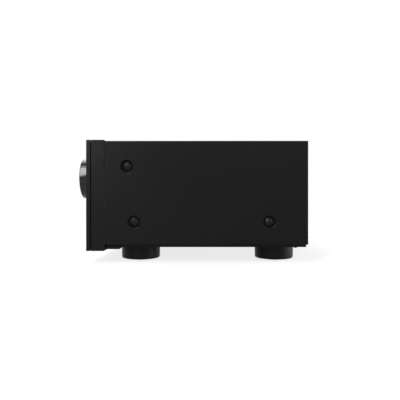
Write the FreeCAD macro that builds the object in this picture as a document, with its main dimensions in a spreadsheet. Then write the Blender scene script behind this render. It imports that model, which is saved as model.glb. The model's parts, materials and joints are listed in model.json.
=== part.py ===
import FreeCAD, Part
import math
import os
import re
import Sketcher

# AV receiver. Millimetres, +Z up, front panel facing -Y.
# The origin is on the floor under the middle of the whole object.

# How near two lengths are that count as the same
SAME = 0.01
# The share of the shorter run beside a bend that its arc takes up
ARC_SHARE = 0.45

doc = FreeCAD.newDocument("receiver")

# Driving dimensions
SIZES = {
    # Case
    "panel_width": 435, "panel_height": 144.3, "panel_drop": 4.6, "panel_overhang": 1,
    "plate_depth": 5.3, "groove_depth": 1.3, "groove_inset": 3, "frame_depth": 17.6, "frame_wall": 2.5,
    "frame_edge_round": 1.2, "plate_edge_round": 0.6, "tongue_depth": 20.9, "tongue_inset": 3.5,
    "case_depth": 262.8, "sheet": 1, "cover_round": 1.8, "cover_drop": 0.95, "cover_lap": 1.5,
    "cover_skirt": 3.5, "sheet_gap": 0.1,
    # Cover vents
    "slot_width": 3, "slot_length": 28, "slot_pitch": 7, "slot_row_pitch": 36, "slot_columns": 44,
    "slot_rows": 4, "slot_rear_margin": 52, "base_slot_columns": 20, "base_slot_rows": 3,
    # Cover screws
    "dimple_radius": 8.35, "dimple_floor_radius": 7.6, "dimple_depth": 3.4, "dimple_wall": 0.6,
    "dimple_lip": 0.8, "dimple_lip_depth": 0.6, "screw_head_radius": 5.7,
    "screw_head_height": 2.4, "screw_radius": 1.9, "screw_length": 7, "screw_gap": 0.2,
    "upper_screw_back": 28.6, "upper_screw_height": 125.9, "lower_screw_back": 37.7,
    "lower_screw_height": 53.4, "rear_screw_forward": 48.85, "tab_width": 24, "tab_above": 9,
    # Feet
    "foot_height": 20.55, "foot_top_radius": 26.6, "foot_bottom_radius": 26.25, "foot_round": 2.7,
    "foot_pad_proud": 2, "foot_pad_radius": 10.9, "foot_pad_depth": 2.4, "foot_pad_gap": 0.2,
    "foot_inset": 45, "foot_gap": 0.5, "front_foot_back": 65.4, "rear_foot_forward": 35.9, "foot_web": 6,
    # Base screws
    "pan_head_radius": 2.9, "pan_head_height": 1.6, "pan_shank_radius": 1.7, "pan_shank_length": 5,
    "base_screw_inset": 9.5, "base_screw_forward": 13.4,
    # Screw heads, as shares of their radius and height
    "dome_share": 1.65, "cross_floor_share": 0.35, "cross_long_share": 0.5,
    "cross_short_share": 0.1,
    # Front controls
    "knob_reach": 23.4, "knob_radius": 28.54, "knob_dome_radius": 94, "knob_edge_round": 1.1,
    "knob_height": 113.2, "knob_inset": 65, "knob_gap": 0.3, "knob_mark_radius": 2.2,
    "knob_mark_out": 20, "shaft_radius": 3, "shaft_gap": 0.05, "bushing_radius": 4.5,
    "bushing_gap": 0.2, "shaft_socket": 14, "encoder_width": 13,
    "button_width": 15, "button_height": 5.5, "button_proud": 1.3, "button_gap": 0.25,
    "button_lip": 1, "button_lip_thick": 1.2, "button_travel": 0.8, "button_pitch": 24,
    "button_count": 6, "button_level": 84, "button_stop_gap": 0.15, "switch_width": 6,
    "power_button_width": 18, "power_button_height": 9, "power_button_inset": 27.5,
    "standby_lens_radius": 1.5, "standby_lens_rise": 12,
    "window_width": 210, "window_height": 42, "window_level": 121, "window_thick": 2.5,
    "window_gap": 0.15, "window_lip": 3, "window_lip_thick": 1.5, "window_inset": 0.3,
    "display_width": 170, "display_height": 30, "display_thick": 6,
    "board_thick": 1.6, "board_margin": 12, "board_back": 4.2, "boss_radius": 3.5,
    "jack_level": 46, "headphone_inset": 39.5, "headphone_bore_radius": 3.2, "headphone_nut_radius": 6,
    "headphone_depth": 34, "headphone_body_width": 16, "jack_proud": 0.8, "jack_gap": 0.2,
    "microphone_inset": 67.5, "microphone_bore_radius": 1.8, "microphone_nut_radius": 3.6,
    "microphone_depth": 16, "microphone_body_width": 9,
    "usb_inset": 39.5, "usb_opening_width": 12.6, "usb_opening_height": 5.2, "usb_wall": 0.5,
    "usb_depth": 15, "usb_tongue_width": 10.4, "usb_tongue_height": 1.8,
    # Rear panel
    "post_reach": 18.6, "post_columns": 5, "post_rows": 2, "post_pitch": 24, "post_row_pitch": 21,
    "post_across": -62, "post_level": 58, "post_radius": 2.9, "post_bore_radius": 2.05,
    "post_bore_depth": 15, "post_collar_radius": 4.6, "post_collar_reach": 5.2, "post_tail": 7,
    "cap_radius": 6.6, "cap_length": 12.6, "cap_gap": 0.05, "cap_seat_gap": 0.3, "cap_chamfer": 0.8,
    "cap_flute_count": 10, "cap_flute_radius": 0.9, "cap_skirt": 2.4,
    "terminal_plate_thick": 2, "terminal_plate_margin": 12, "terminal_body_depth": 12,
    "terminal_hole_gap": 0.3,
    "jack_columns": 8, "jack_rows": 2, "jack_pitch": 15, "jack_row_pitch": 17, "jack_inset": 105.5,
    "jack_row_level": 56, "jack_radius": 4.15, "jack_sleeve_wall": 0.6, "jack_reach": 9,
    "jack_hole_radius": 1.6, "jack_hole_depth": 8.5, "jack_collar_radius": 5.6, "jack_collar_thick": 0.8,
    "jack_block_depth": 12, "jack_block_margin": 1,
    "hdmi_count": 6, "hdmi_pitch": 24, "hdmi_across": -20, "hdmi_level": 138, "hdmi_width": 15,
    "hdmi_height": 5.6, "hdmi_wall": 0.5, "hdmi_depth": 12, "hdmi_proud": 0.8,
    "hdmi_tongue_width": 10, "hdmi_tongue_height": 1.2,
    "antenna_inset": 45.5, "antenna_level": 128, "antenna_radius": 4.75, "antenna_bore_radius": 2.2,
    "antenna_reach": 9, "antenna_bore_depth": 8, "antenna_flange_radius": 8, "antenna_flange_thick": 1.2,
    "inlet_inset": 39.5, "inlet_level": 56, "inlet_width": 30, "inlet_height": 22, "inlet_wall": 2.5,
    "inlet_depth": 17, "inlet_recess": 14, "inlet_flange": 4, "inlet_flange_thick": 1.8,
    "inlet_pin_width": 4, "inlet_pin_height": 2, "inlet_pin_length": 9, "inlet_pin_spread": 7,
    "hole_gap": 0.2, "rear_screw_head_radius": 2.9, "rear_screw_head_height": 1.5,
    "rear_vent_width": 2.5, "rear_vent_height": 30, "rear_vent_pitch": 6, "rear_vent_count": 16,
    "rear_vent_across": -135, "rear_vent_level": 120,
    # Inside
    "transformer_inset": 87.5, "transformer_back": 78, "core_width": 96, "core_depth": 50,
    "core_height": 80, "core_leg": 16, "core_centre_leg": 32, "winding_gap": 0.2,
    "winding_bulge": 14, "bracket_foot": 14, "bracket_thick": 2,
    "sink_across": 40, "sink_back": 96, "sink_width": 190, "sink_plate": 6, "sink_fin_reach": 30,
    "sink_fin_thick": 2, "sink_fin_pitch": 8, "sink_height": 78, "sink_lift": 10,
    "transistor_width": 20, "transistor_height": 26, "transistor_thick": 5, "transistor_count": 7,
    "transistor_pitch": 25, "transistor_lift": 24,
    "amp_board_depth": 84, "standoff_radius": 3, "standoff_height": 8, "standoff_inset": 7,
    "capacitor_radius": 17.5, "capacitor_height": 60, "capacitor_pitch": 42, "capacitor_count": 2,
    "capacitor_back": 52,
    "digital_board_width": 300, "digital_board_depth": 74, "digital_board_across": 40,
    "standoff_spread": 40,
    "ribbon_width": 40, "ribbon_thick": 0.9, "ribbon_across": 60, "ribbon_level": 96, "ribbon_run": 30,
    "ribbon_clear": 10, "ribbon_gap": 0.2, "ribbon_landing": 10,
}

# Places worked out from the driving dimensions
PLACES = {
    "depth": "knob_reach + plate_depth + groove_depth + frame_depth + case_depth + post_reach",
    "tip_y": "-depth / 2",
    "front_y": "tip_y + knob_reach",
    "plate_y": "front_y + plate_depth",
    "frame_y": "plate_y + groove_depth",
    "wall_y": "frame_y + frame_wall",
    "case_y": "frame_y + frame_depth",
    "rear_y": "case_y + case_depth",
    "inner_rear_y": "rear_y - sheet",
    "post_y": "rear_y + post_reach",
    "board_rear_y": "case_y - board_back",
    "board_y": "board_rear_y - board_thick",
    "bottom_z": "foot_height",
    "floor_z": "bottom_z + sheet",
    "panel_z": "bottom_z - panel_drop",
    "panel_top_z": "panel_z + panel_height",
    "cover_top_z": "panel_top_z - cover_drop",
    "cover_z": "bottom_z + cover_skirt",
    "roof_z": "cover_top_z - sheet - sheet_gap",
    "half_width": "panel_width / 2",
    "cover_x": "half_width - panel_overhang",
    "case_x": "cover_x - sheet - dimple_depth",
    "cover_rear_y": "rear_y + cover_lap",
    "upper_screw_y": "case_y + upper_screw_back",
    "lower_screw_y": "case_y + lower_screw_back",
    "rear_screw_y": "rear_y - rear_screw_forward",
    "front_foot_y": "front_y + front_foot_back",
    "rear_foot_y": "rear_y - rear_foot_forward",
    "foot_x": "half_width - foot_inset",
    "knob_across": "half_width - knob_inset",
    "power_button_across": "half_width - power_button_inset",
    "headphone_across": "half_width - headphone_inset",
    "microphone_across": "half_width - microphone_inset",
    "usb_across": "half_width - usb_inset",
    "jack_across": "half_width - jack_inset",
    "antenna_across": "half_width - antenna_inset",
    "inlet_across": "inlet_inset - half_width",
    "transformer_across": "transformer_inset - half_width",
    "knob_y": "front_y - knob_gap",
    "board_x": "half_width - board_margin",
    "board_bottom_z": "panel_z + board_margin",
    "board_top_z": "panel_top_z - board_margin",
    "terminal_bottom_z": "post_level - (post_rows - 1) * post_row_pitch / 2 - terminal_plate_margin",
    "terminal_top_z": "post_level + (post_rows - 1) * post_row_pitch / 2 + terminal_plate_margin",
    "terminal_left_x": "post_across - (post_columns - 1) * post_pitch / 2 - terminal_plate_margin",
    "terminal_right_x": "post_across + (post_columns - 1) * post_pitch / 2 + terminal_plate_margin",
    "terminal_y": "rear_y + terminal_plate_thick",
    "collar_y": "terminal_y + post_collar_reach - terminal_plate_thick",
    "transformer_y": "case_y + transformer_back",
    "core_z": "floor_z + bracket_thick",
    "core_top_z": "core_z + core_height",
    "sink_y": "case_y + sink_back",
    "sink_z": "floor_z + sink_lift",
    "amp_board_y": "sink_y + sink_plate + transistor_thick + hole_gap",
    "amp_board_rear_y": "amp_board_y + amp_board_depth",
    "amp_board_z": "floor_z + standoff_height",
    "digital_board_z": "hdmi_level - hdmi_height / 2 - board_thick",
    "digital_board_rear_y": "inner_rear_y - hole_gap",
    "digital_board_y": "digital_board_rear_y - digital_board_depth",
    "capacitor_y": "amp_board_y + capacitor_back",
    "sink_top_z": "sink_z + sink_height",
}


def make_sheet(name, cells):
    sheet = doc.addObject("Spreadsheet::Sheet", name)
    for row, (alias, content) in enumerate(cells.items(), start=1):
        sheet.set(f"A{row}", alias)
        sheet.set(f"B{row}", content)
        sheet.setAlias(f"B{row}", alias)
    return sheet


def around(middle, size, grow="0"):
    """The two ends of a span about a middle, each moved out by a little more."""
    return (f"({middle}) - ({size}) / 2 - ({grow})", f"({middle}) + ({size}) / 2 + ({grow})")


def named(formula):
    """Point each plain name in a formula at its cell."""
    def cell(match):
        word = match.group(0)
        if word in SIZES:
            return f"sizes.{word}"
        if word in PLACES:
            return f"places.{word}"
        return word
    return re.sub(r"[a-z_]+", cell, str(formula))


sizes = make_sheet("sizes", {alias: str(value) for alias, value in SIZES.items()})
places = make_sheet("places", {alias: "=" + named(formula) for alias, formula in PLACES.items()})
doc.recompute()
nodes = []


def bind(item, **formulas):
    """Tie properties of an object to formulas; a double underscore stands for a dot."""
    for path, formula in formulas.items():
        item.setExpression(path.replace("__", "."), named(formula))
    return item


def node(item, name):
    """Name a finished piece."""
    item.Label = name
    nodes.append(item)
    return item


def block(x, y, z):
    """A box between two formulas along each axis."""
    item = doc.addObject("Part::Box", "block")
    return bind(
        item, Length=f"({x[1]}) - ({x[0]})", Width=f"({y[1]}) - ({y[0]})", Height=f"({z[1]}) - ({z[0]})",
        Placement__Base__x=x[0], Placement__Base__y=y[0], Placement__Base__z=z[0])


TURNS = {
    "x": FreeCAD.Rotation(FreeCAD.Vector(0, 1, 0), 90),
    "y": FreeCAD.Rotation(FreeCAD.Vector(1, 0, 0), -90),
    "z": FreeCAD.Rotation(),
}


def aim(item, axis, at, start):
    """Lay an upright primitive along an axis, from a formula on it, through two formulas across it."""
    item.Placement = FreeCAD.Placement(FreeCAD.Vector(), TURNS[axis])
    across = [letter for letter in "xyz" if letter != axis]
    formulas = {axis: start, across[0]: at[0], across[1]: at[1]}
    return bind(item, **{f"Placement__Base__{letter}": text for letter, text in formulas.items()})


def rod(axis, at, radius, start, end):
    item = aim(doc.addObject("Part::Cylinder", "rod"), axis, at, start)
    return bind(item, Radius=radius, Height=f"({end}) - ({start})")


def group(items):
    item = doc.addObject("Part::Compound", "group")
    item.Links = items
    return item


def join(*items):
    item = doc.addObject("Part::MultiFuse", "joined")
    item.Shapes = list(items)
    item.Refine = True
    return item


def cut(base, tool):
    item = doc.addObject("Part::Cut", "cut")
    item.Base = base
    item.Tool = tool
    item.Refine = True
    return item


def offsets(count, pitch):
    """Formulas of evenly spaced places about zero."""
    return [f"({place} - ({count} - 1) / 2) * {pitch}" for place in range(int(SIZES[count]))]


PLANE_OF = {"z": "XY_Plane", "y": "XZ_Plane", "x": "YZ_Plane"}


def origin_feature(body, role):
    return next(feature for feature in body.Origin.OriginFeatures if feature.Role == role)


def sketch_on(body, role, name):
    sketch = body.newObject("Sketcher::SketchObject", name)
    sketch.AttachmentSupport = (origin_feature(body, role), [""])
    sketch.MapMode = "FlatFace"
    return sketch


def outline(sketch, points):
    """A closed outline of straight lines through points given as pairs of formulas."""
    first, count = sketch.GeometryCount, len(points)
    corners = [FreeCAD.Vector(place + 1, place * place + 1, 0) for place in range(count)]
    lines = [Part.LineSegment(corners[place], corners[(place + 1) % count]) for place in range(count)]
    sketch.addGeometry(lines, False)
    for place, (across, along) in enumerate(points):
        line, following = first + place, first + (place + 1) % count
        sketch.addConstraint(Sketcher.Constraint("Coincident", line, 2, following, 1))
        for kind, formula in (("DistanceX", across), ("DistanceY", along)):
            index = sketch.addConstraint(Sketcher.Constraint(kind, -1, 1, line, 1, 1.0))
            sketch.setExpression(f"Constraints[{index}]", named(formula))


def turned(axis, at, points, name):
    """A piece turned about an axis: points are (radius, place along the axis)."""
    body = doc.addObject("PartDesign::Body", name)
    sketch = sketch_on(body, "XZ_Plane", f"{name}_profile")
    outline(sketch, points)
    spin = body.newObject("PartDesign::Revolution", f"{name}_spin")
    spin.Profile = sketch
    spin.ReferenceAxis = (sketch, ["V_Axis"])
    spin.Angle = 360
    aim(body, axis, at, "0")
    return body


def rounded(body, picks, radius, name):
    """Round the edges of a body's tip that the test picks."""
    doc.recompute()
    base = body.Tip
    edges = [f"Edge{place}" for place, edge in enumerate(base.Shape.Edges, start=1) if picks(edge)]
    fillet = body.newObject("PartDesign::Fillet", name)
    fillet.Base = (base, edges)
    bind(fillet, Radius=radius)
    body.Tip = fillet
    return fillet


def bored_hole(across, level, radius, start, end):
    return rod("y", (across, level), radius, start, end)


def slab(x, y, z, name):
    """A body padded along Y from an upright rectangle, for plates that get rounded edges."""
    body = doc.addObject("PartDesign::Body", name)
    sketch = sketch_on(body, "XZ_Plane", f"{name}_outline")
    outline(sketch, [(x[0], z[0]), (x[1], z[0]), (x[1], z[1]), (x[0], z[1])])
    bind(sketch, AttachmentOffset__Base__z=f"-({y[0]})")
    pad = body.newObject("PartDesign::Pad", f"{name}_pad")
    pad.Profile = sketch
    pad.Reversed = True
    bind(pad, Length=f"({y[1]}) - ({y[0]})")
    doc.recompute()
    return body


def side_profile(points, width, name):
    """A body whose outline lies in the YZ plane, as wide as a formula says, half to each side."""
    body = doc.addObject("PartDesign::Body", name)
    sketch = sketch_on(body, "YZ_Plane", f"{name}_outline")
    outline(sketch, points)
    pad = body.newObject("PartDesign::Pad", f"{name}_pad")
    pad.Profile = sketch
    pad.SideType = "Symmetric"
    bind(pad, Length=width)
    doc.recompute()
    return body


def at_y(name):
    """A test that picks the edges lying in one upright plane across the part."""
    def test(edge):
        return max(abs(vertex.Point.y - places.get(name)) for vertex in edge.Vertexes) < SAME
    return test


# Front controls: where each one goes through the panel
VOLUME = ("knob_across", "knob_height")
SELECTOR = ("-knob_across", "knob_height")
HEADPHONE = ("-headphone_across", "jack_level")
MICROPHONE = ("-microphone_across", "jack_level")
LENS = ("-power_button_across", "button_level + standby_lens_rise")
BUTTONS = [(f"({place})", "button_level", "button_width", "button_height")
           for place in offsets("button_count", "button_pitch")]
POWER = ("-power_button_across", "button_level", "power_button_width", "power_button_height")
SWITCH_Y = "(wall_y + button_stop_gap + button_lip_thick + button_travel + button_stop_gap)"
BOARD_CORNERS = [
    (f"{side} * (board_x - standoff_inset)", level) for side in (-1, 1)
    for level in ("board_bottom_z + standoff_inset", "board_top_z - standoff_inset")]


def window_block(grow, y):
    return block(around("0", "window_width", grow), y, around("window_level", "window_height", grow))


def button_block(button, grow, y):
    across, level, width, height = button
    return block(around(across, width, grow), y, around(level, height, grow))


def usb_block(grow, y):
    return block(
        around("usb_across", "usb_opening_width", grow), y,
        around("jack_level", "usb_opening_height", grow))


def panel_cuts(start, end):
    """Holes through the front plate and the front frame for everything that comes forward."""
    through = (start, end)
    cuts = [bored_hole(*knob, "bushing_radius + bushing_gap", start, end) for knob in (VOLUME, SELECTOR)]
    cuts += [button_block(button, "button_gap", through) for button in BUTTONS + [POWER]]
    cuts += [
        bored_hole(*HEADPHONE, "headphone_nut_radius + jack_gap", start, end),
        bored_hole(*MICROPHONE, "microphone_nut_radius + jack_gap", start, end),
        bored_hole(*LENS, "standby_lens_radius + jack_gap", start, end),
        window_block("window_gap", through),
        usb_block("usb_wall + jack_gap", through),
    ]
    return group(cuts)


def front_frame():
    """Moulded frame: a shell with a front wall, open at the back, with a lip hooked under the chassis."""
    outside = (("-half_width", "half_width"), ("frame_y", "case_y"), ("panel_z", "panel_top_z"))
    shell = slab(*outside, "frame_shell")
    rounded(shell, at_y("case_y"), "frame_edge_round", "frame_rear_round")
    inner_x = "(half_width - frame_wall)"
    hollow = block((f"-{inner_x}", inner_x), ("wall_y", "case_y"),
                   ("panel_z + frame_wall", "panel_top_z - frame_wall"))
    land_x = "(half_width - groove_inset)"
    land = block((f"-{land_x}", land_x), ("plate_y", "frame_y"),
                 ("panel_z + groove_inset", "panel_top_z - groove_inset"))
    bosses = [rod("y", corner, "boss_radius", "wall_y", "board_y") for corner in BOARD_CORNERS]
    tongue = side_profile([
        ("case_y", "bottom_z - frame_wall"),
        ("case_y + tongue_depth - frame_wall", "bottom_z - frame_wall"),
        ("case_y + tongue_depth", "bottom_z"),
        ("case_y", "bottom_z"),
    ], "2 * (half_width - tongue_inset)", "frame_tongue")
    clear = [rod("z", centre, "foot_top_radius + foot_gap", "bottom_z - frame_wall", "bottom_z")
             for centre in FEET.values()]
    solid = join(cut(shell, hollow), land, cut(tongue, group(clear)), *bosses)
    node(cut(solid, panel_cuts("plate_y", "wall_y")), "front_frame")


def front_plate():
    plate = slab(("-half_width", "half_width"), ("front_y", "plate_y"), ("panel_z", "panel_top_z"), "plate")
    rounded(plate, at_y("front_y"), "plate_edge_round", "plate_front_round")
    node(cut(plate, panel_cuts("front_y", "plate_y")), "front_plate")


def display_window():
    """Tinted window, dropped in from behind: its lip lies against the frame's front wall."""
    pane = window_block("0", ("front_y + window_inset", "wall_y"))
    lip = window_block("window_lip", ("wall_y", "wall_y + window_lip_thick"))
    hollow = window_block(
        "-window_thick", ("front_y + window_inset + window_thick", "wall_y + window_lip_thick"))
    node(cut(join(pane, lip), hollow), "display_window")


def display_module():
    """Flat glass display, standing on the front board behind the window."""
    node(block(("-display_width / 2", "display_width / 2"), ("board_y - display_thick", "board_y"),
               around("window_level", "display_height")), "display_module")


def front_board():
    """Board behind the front wall, holed for the jacks, with a switch under each key."""
    through = ("board_y", "board_rear_y")
    board = block(("-board_x", "board_x"), through, ("board_bottom_z", "board_top_z"))
    holes = [usb_block("usb_wall + jack_gap", through)]
    for centre, width in ((HEADPHONE, "headphone_body_width"), (MICROPHONE, "microphone_body_width")):
        across, level = centre
        holes.append(block(around(across, width, "jack_gap"), through, around(level, width, "jack_gap")))
    switches = [
        block(around(across, "switch_width"), (SWITCH_Y, "board_y"), around(level, "switch_width"))
        for across, level, width, height in BUTTONS + [POWER]]
    node(join(cut(board, group(holes)), *switches), "front_board")


def jack(centre, name):
    """A panel jack: nut and barrel in the panel, body behind it, one bore from the front."""
    across, level = centre
    width, reach = f"{name}_body_width", f"{name}_depth"
    barrel = rod("y", centre, f"{name}_nut_radius", "front_y - jack_proud", "wall_y")
    body = block(around(across, width), ("wall_y", f"front_y + {reach}"), around(level, width))
    bore = rod("y", centre, f"{name}_bore_radius", "front_y - jack_proud", f"front_y + {reach} - sheet")
    node(cut(join(barrel, body), bore), f"{name}_jack")


def usb_socket():
    """Folded metal shell, open in front, with the contact tongue inside."""
    shell = usb_block("usb_wall", ("front_y", "front_y + usb_depth"))
    hollow = usb_block("0", ("front_y", "front_y + usb_depth - usb_wall"))
    ceiling = "jack_level + usb_opening_height / 2"
    tongue = block(around("usb_across", "usb_tongue_width"),
                   ("front_y + usb_wall", "front_y + usb_depth - usb_wall"),
                   (f"{ceiling} - usb_tongue_height", ceiling))
    node(join(cut(shell, hollow), tongue), "front_usb_socket")


def standby_lens():
    """Small round lens with a flange behind the front wall."""
    node(turned("y", LENS, [
        ("0", "front_y - jack_gap"), ("standby_lens_radius", "front_y - jack_gap"),
        ("standby_lens_radius", "wall_y"), ("2 * standby_lens_radius", "wall_y"),
        ("2 * standby_lens_radius", "wall_y + sheet"), ("0", "wall_y + sheet")], "lens"), "standby_lens")


def rotary_controls():
    """Two endless encoders on the front board, each with its shaft and knob."""
    housings = []
    for side, centre in (("volume", VOLUME), ("selector", SELECTOR)):
        across, level = centre
        body = block(around(across, "encoder_width"), ("wall_y", "board_y"), around(level, "encoder_width"))
        bushing = rod("y", centre, "bushing_radius", "front_y", "wall_y")
        bore = rod("y", centre, "shaft_radius + shaft_gap", "front_y", "board_y - sheet")
        housings.append(cut(join(body, bushing), bore))
        node(rod("y", centre, "shaft_radius", "knob_y - shaft_socket", "board_y - sheet - shaft_gap"),
             f"{side}_shaft")
        knob(centre, f"{side}_knob")
    node(group(housings), "rotary_encoders")


def knob(centre, name):
    """Turned knob with a gently domed face, a rounded rim, a finger mark and a socket for its shaft."""
    body = doc.addObject("PartDesign::Body", f"{name}_body")
    sketch = sketch_on(body, "XZ_Plane", f"{name}_profile")
    radius, reach, dome = SIZES["knob_radius"], SIZES["knob_reach"], SIZES["knob_dome_radius"]
    corners = [FreeCAD.Vector(0, reach, 0), FreeCAD.Vector(), FreeCAD.Vector(radius, 1, 0),
               FreeCAD.Vector(radius, reach, 0)]
    spread = radius / dome
    face = Part.Circle(FreeCAD.Vector(0, dome, 0), FreeCAD.Vector(0, 0, 1), dome)
    sketch.addGeometry([
        Part.LineSegment(corners[0], corners[1]),
        Part.ArcOfCircle(face, -math.pi / 2, -math.pi / 2 + spread),
        Part.LineSegment(corners[2], corners[3]),
        Part.LineSegment(corners[3], corners[0]),
    ], False)
    sketch.addConstraint([
        Sketcher.Constraint("Coincident", 0, 2, 1, 1), Sketcher.Constraint("Coincident", 1, 2, 2, 1),
        Sketcher.Constraint("Coincident", 2, 2, 3, 1), Sketcher.Constraint("Coincident", 3, 2, 0, 1),
        Sketcher.Constraint("PointOnObject", 0, 1, -2), Sketcher.Constraint("PointOnObject", 0, 2, -2),
        Sketcher.Constraint("PointOnObject", 1, 3, -2), Sketcher.Constraint("Vertical", 2),
        Sketcher.Constraint("Horizontal", 3),
    ])
    for constraint, formula in (
            (("Radius", 1, dome), "knob_dome_radius"),
            (("DistanceY", -1, 1, 0, 2, 1.0), "tip_y"),
            (("DistanceX", -1, 1, 2, 1, radius), "knob_radius"),
            (("DistanceY", -1, 1, 2, 2, reach), "knob_y")):
        index = sketch.addConstraint(Sketcher.Constraint(*constraint))
        sketch.setExpression(f"Constraints[{index}]", named(formula))
    spin = body.newObject("PartDesign::Revolution", f"{name}_spin")
    spin.Profile = sketch
    spin.ReferenceAxis = (sketch, ["V_Axis"])
    spin.Angle = 360
    doc.recompute()

    def rim(edge):
        """The circle where the domed face meets the side."""
        full = abs(edge.Length - 2 * math.pi * radius) < SAME
        return full and edge.Vertexes[0].Point.z < places.get("knob_y") - SAME
    rounded(body, rim, "knob_edge_round", f"{name}_rim")
    aim(body, "y", centre, "0")
    across, level = centre
    socket = rod("y", centre, "shaft_radius", "knob_y - shaft_socket", "knob_y")
    mark = doc.addObject("Part::Sphere", f"{name}_mark")
    bind(mark, Radius="knob_mark_radius", Placement__Base__x=across,
         Placement__Base__y="tip_y + knob_mark_radius", Placement__Base__z=f"{level} + knob_mark_out")
    node(cut(body, group([socket, mark])), name)


def push_button(button, name):
    """Key cap with a lip behind the front wall that keeps it in, standing just off its switch."""
    cap = button_block(button, "0", ("front_y - button_proud", "wall_y + button_stop_gap"))
    lip_y = "wall_y + button_stop_gap"
    lip = button_block(button, "button_lip", (lip_y, f"{lip_y} + button_lip_thick"))
    node(join(cap, lip), name)


# Case: where the cover screws and the feet are
SIDE_SCREWS = [
    ("upper_screw_y", "upper_screw_height"), ("lower_screw_y", "lower_screw_height"),
    ("rear_screw_y", "lower_screw_height")]
LOWER_SCREWS = SIDE_SCREWS[1:]
# Radii of a dimple at the cover's skin and at its end, and of the soft lip round it
DIMPLE = ("dimple_radius", "dimple_floor_radius")
LIP = ("(dimple_radius + dimple_lip)", "(dimple_radius - dimple_lip)")
FEET = {
    "front_left_foot": ("-foot_x", "front_foot_y"), "front_right_foot": ("foot_x", "front_foot_y"),
    "rear_left_foot": ("-foot_x", "rear_foot_y"), "rear_right_foot": ("foot_x", "rear_foot_y")}
BASE_SCREWS = [
    (f"{side} * (half_width - base_screw_inset)", "rear_y - base_screw_forward") for side in (-1, 1)]
BASE_Y = ("case_y", "inner_rear_y")


def side_sheet(side):
    """The thickness of the chassis wall at one side."""
    return around(f"{side} * (case_x - sheet / 2)", "sheet")


def side_hole(side, place):
    """A screw hole through the chassis wall at one side."""
    start, end = around(f"{side} * case_x", "4 * sheet")
    return rod("x", place, "screw_radius", start, end)


def top_cover():
    """Folded steel cover: rounded at its two bends, slotted over the warm parts, dimpled at its screws."""
    body = doc.addObject("PartDesign::Body", "cover_body")
    blank = sketch_on(body, "XZ_Plane", "cover_outline")
    outline(blank, [("-cover_x", "cover_z"), ("cover_x", "cover_z"), ("cover_x", "cover_top_z"),
                    ("-cover_x", "cover_top_z")])
    bind(blank, AttachmentOffset__Base__z="-case_y")
    pad = body.newObject("PartDesign::Pad", "cover_pad")
    pad.Profile = blank
    pad.Reversed = True
    bind(pad, Length="cover_rear_y - case_y")
    doc.recompute()

    def bend(edge):
        """The two long top edges."""
        points = [vertex.Point for vertex in edge.Vertexes]
        along = abs(points[0].y - points[-1].y) > SAME
        return along and min(point.z for point in points) > places.get("cover_top_z") - SAME
    rounded(body, bend, "cover_round", "cover_bends")
    inner_x = "(cover_x - sheet)"
    inside = block((f"-{inner_x}", inner_x), ("case_y", "cover_rear_y"), ("cover_z", "cover_top_z - sheet"))
    shell = cut(body, inside)
    dimples, tools = [], []
    for side in (-1, 1):
        for along, level in SIDE_SCREWS:
            place = (along, level)
            dimples.append(dished(side, place, DIMPLE, "dimple_wall", inner_x, "case_x"))
            tools.append(dished(side, place, DIMPLE, "0", "cover_x", "(case_x + sheet)"))
            tools.append(dished(side, place, LIP, "0", "cover_x", "(cover_x - dimple_lip_depth)"))
            start, end = around(f"{side} * cover_x", "2 * screw_length")
            tools.append(rod("x", place, "screw_radius + screw_gap", start, end))
    middle = "(cover_rear_y - slot_rear_margin - slot_rows / 2 * slot_row_pitch)"
    slots = [
        block(around(across, "slot_width"), around(f"{middle} + {along}", "slot_length"),
              ("cover_top_z - 2 * sheet", "cover_top_z"))
        for across in offsets("slot_columns", "slot_pitch")
        for along in offsets("slot_rows", "slot_row_pitch")]
    node(cut(cut(join(shell, *dimples), join(*tools)), group(slots)), "top_cover")


def dished(side, place, radii, grow, skin, bottom):
    """A cone from a skin of the cover's side in to where it ends, wide at the skin."""
    along, level = place
    item = doc.addObject("Part::Cone", "dished")
    item.Placement = FreeCAD.Placement(
        FreeCAD.Vector(), FreeCAD.Rotation(FreeCAD.Vector(0, 1, 0), -90 * side))
    return bind(item, Radius1=f"{radii[0]} + {grow}", Radius2=f"{radii[1]} + {grow}",
                Height=f"{skin} - {bottom}",
                Placement__Base__x=f"{side} * {skin}", Placement__Base__y=along, Placement__Base__z=level)


def base_chassis():
    """Folded pan: a floor with low side walls, and tabs on the walls for the lower cover screws."""
    floor = block(("-case_x", "case_x"), BASE_Y, ("bottom_z", "floor_z"))
    walls, holes = [], []
    for side in (-1, 1):
        walls.append(block(side_sheet(side), BASE_Y, ("floor_z", "floor_z + tab_above")))
        for along, level in LOWER_SCREWS:
            walls.append(block(
                side_sheet(side), around(along, "tab_width"), ("floor_z", f"{level} + tab_above")))
            holes.append(side_hole(side, (along, level)))
    for centre in BASE_SCREWS + list(FEET.values()):
        holes.append(rod("z", centre, "pan_shank_radius", "bottom_z", "floor_z"))
    holes += [
        block(around(f"sink_across + {across}", "slot_width"), around(f"sink_y + {along}", "slot_length"),
              ("bottom_z", "floor_z"))
        for across in offsets("base_slot_columns", "slot_pitch")
        for along in offsets("base_slot_rows", "slot_row_pitch")]
    node(cut(join(floor, *walls), group(holes)), "base_chassis")


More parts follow.
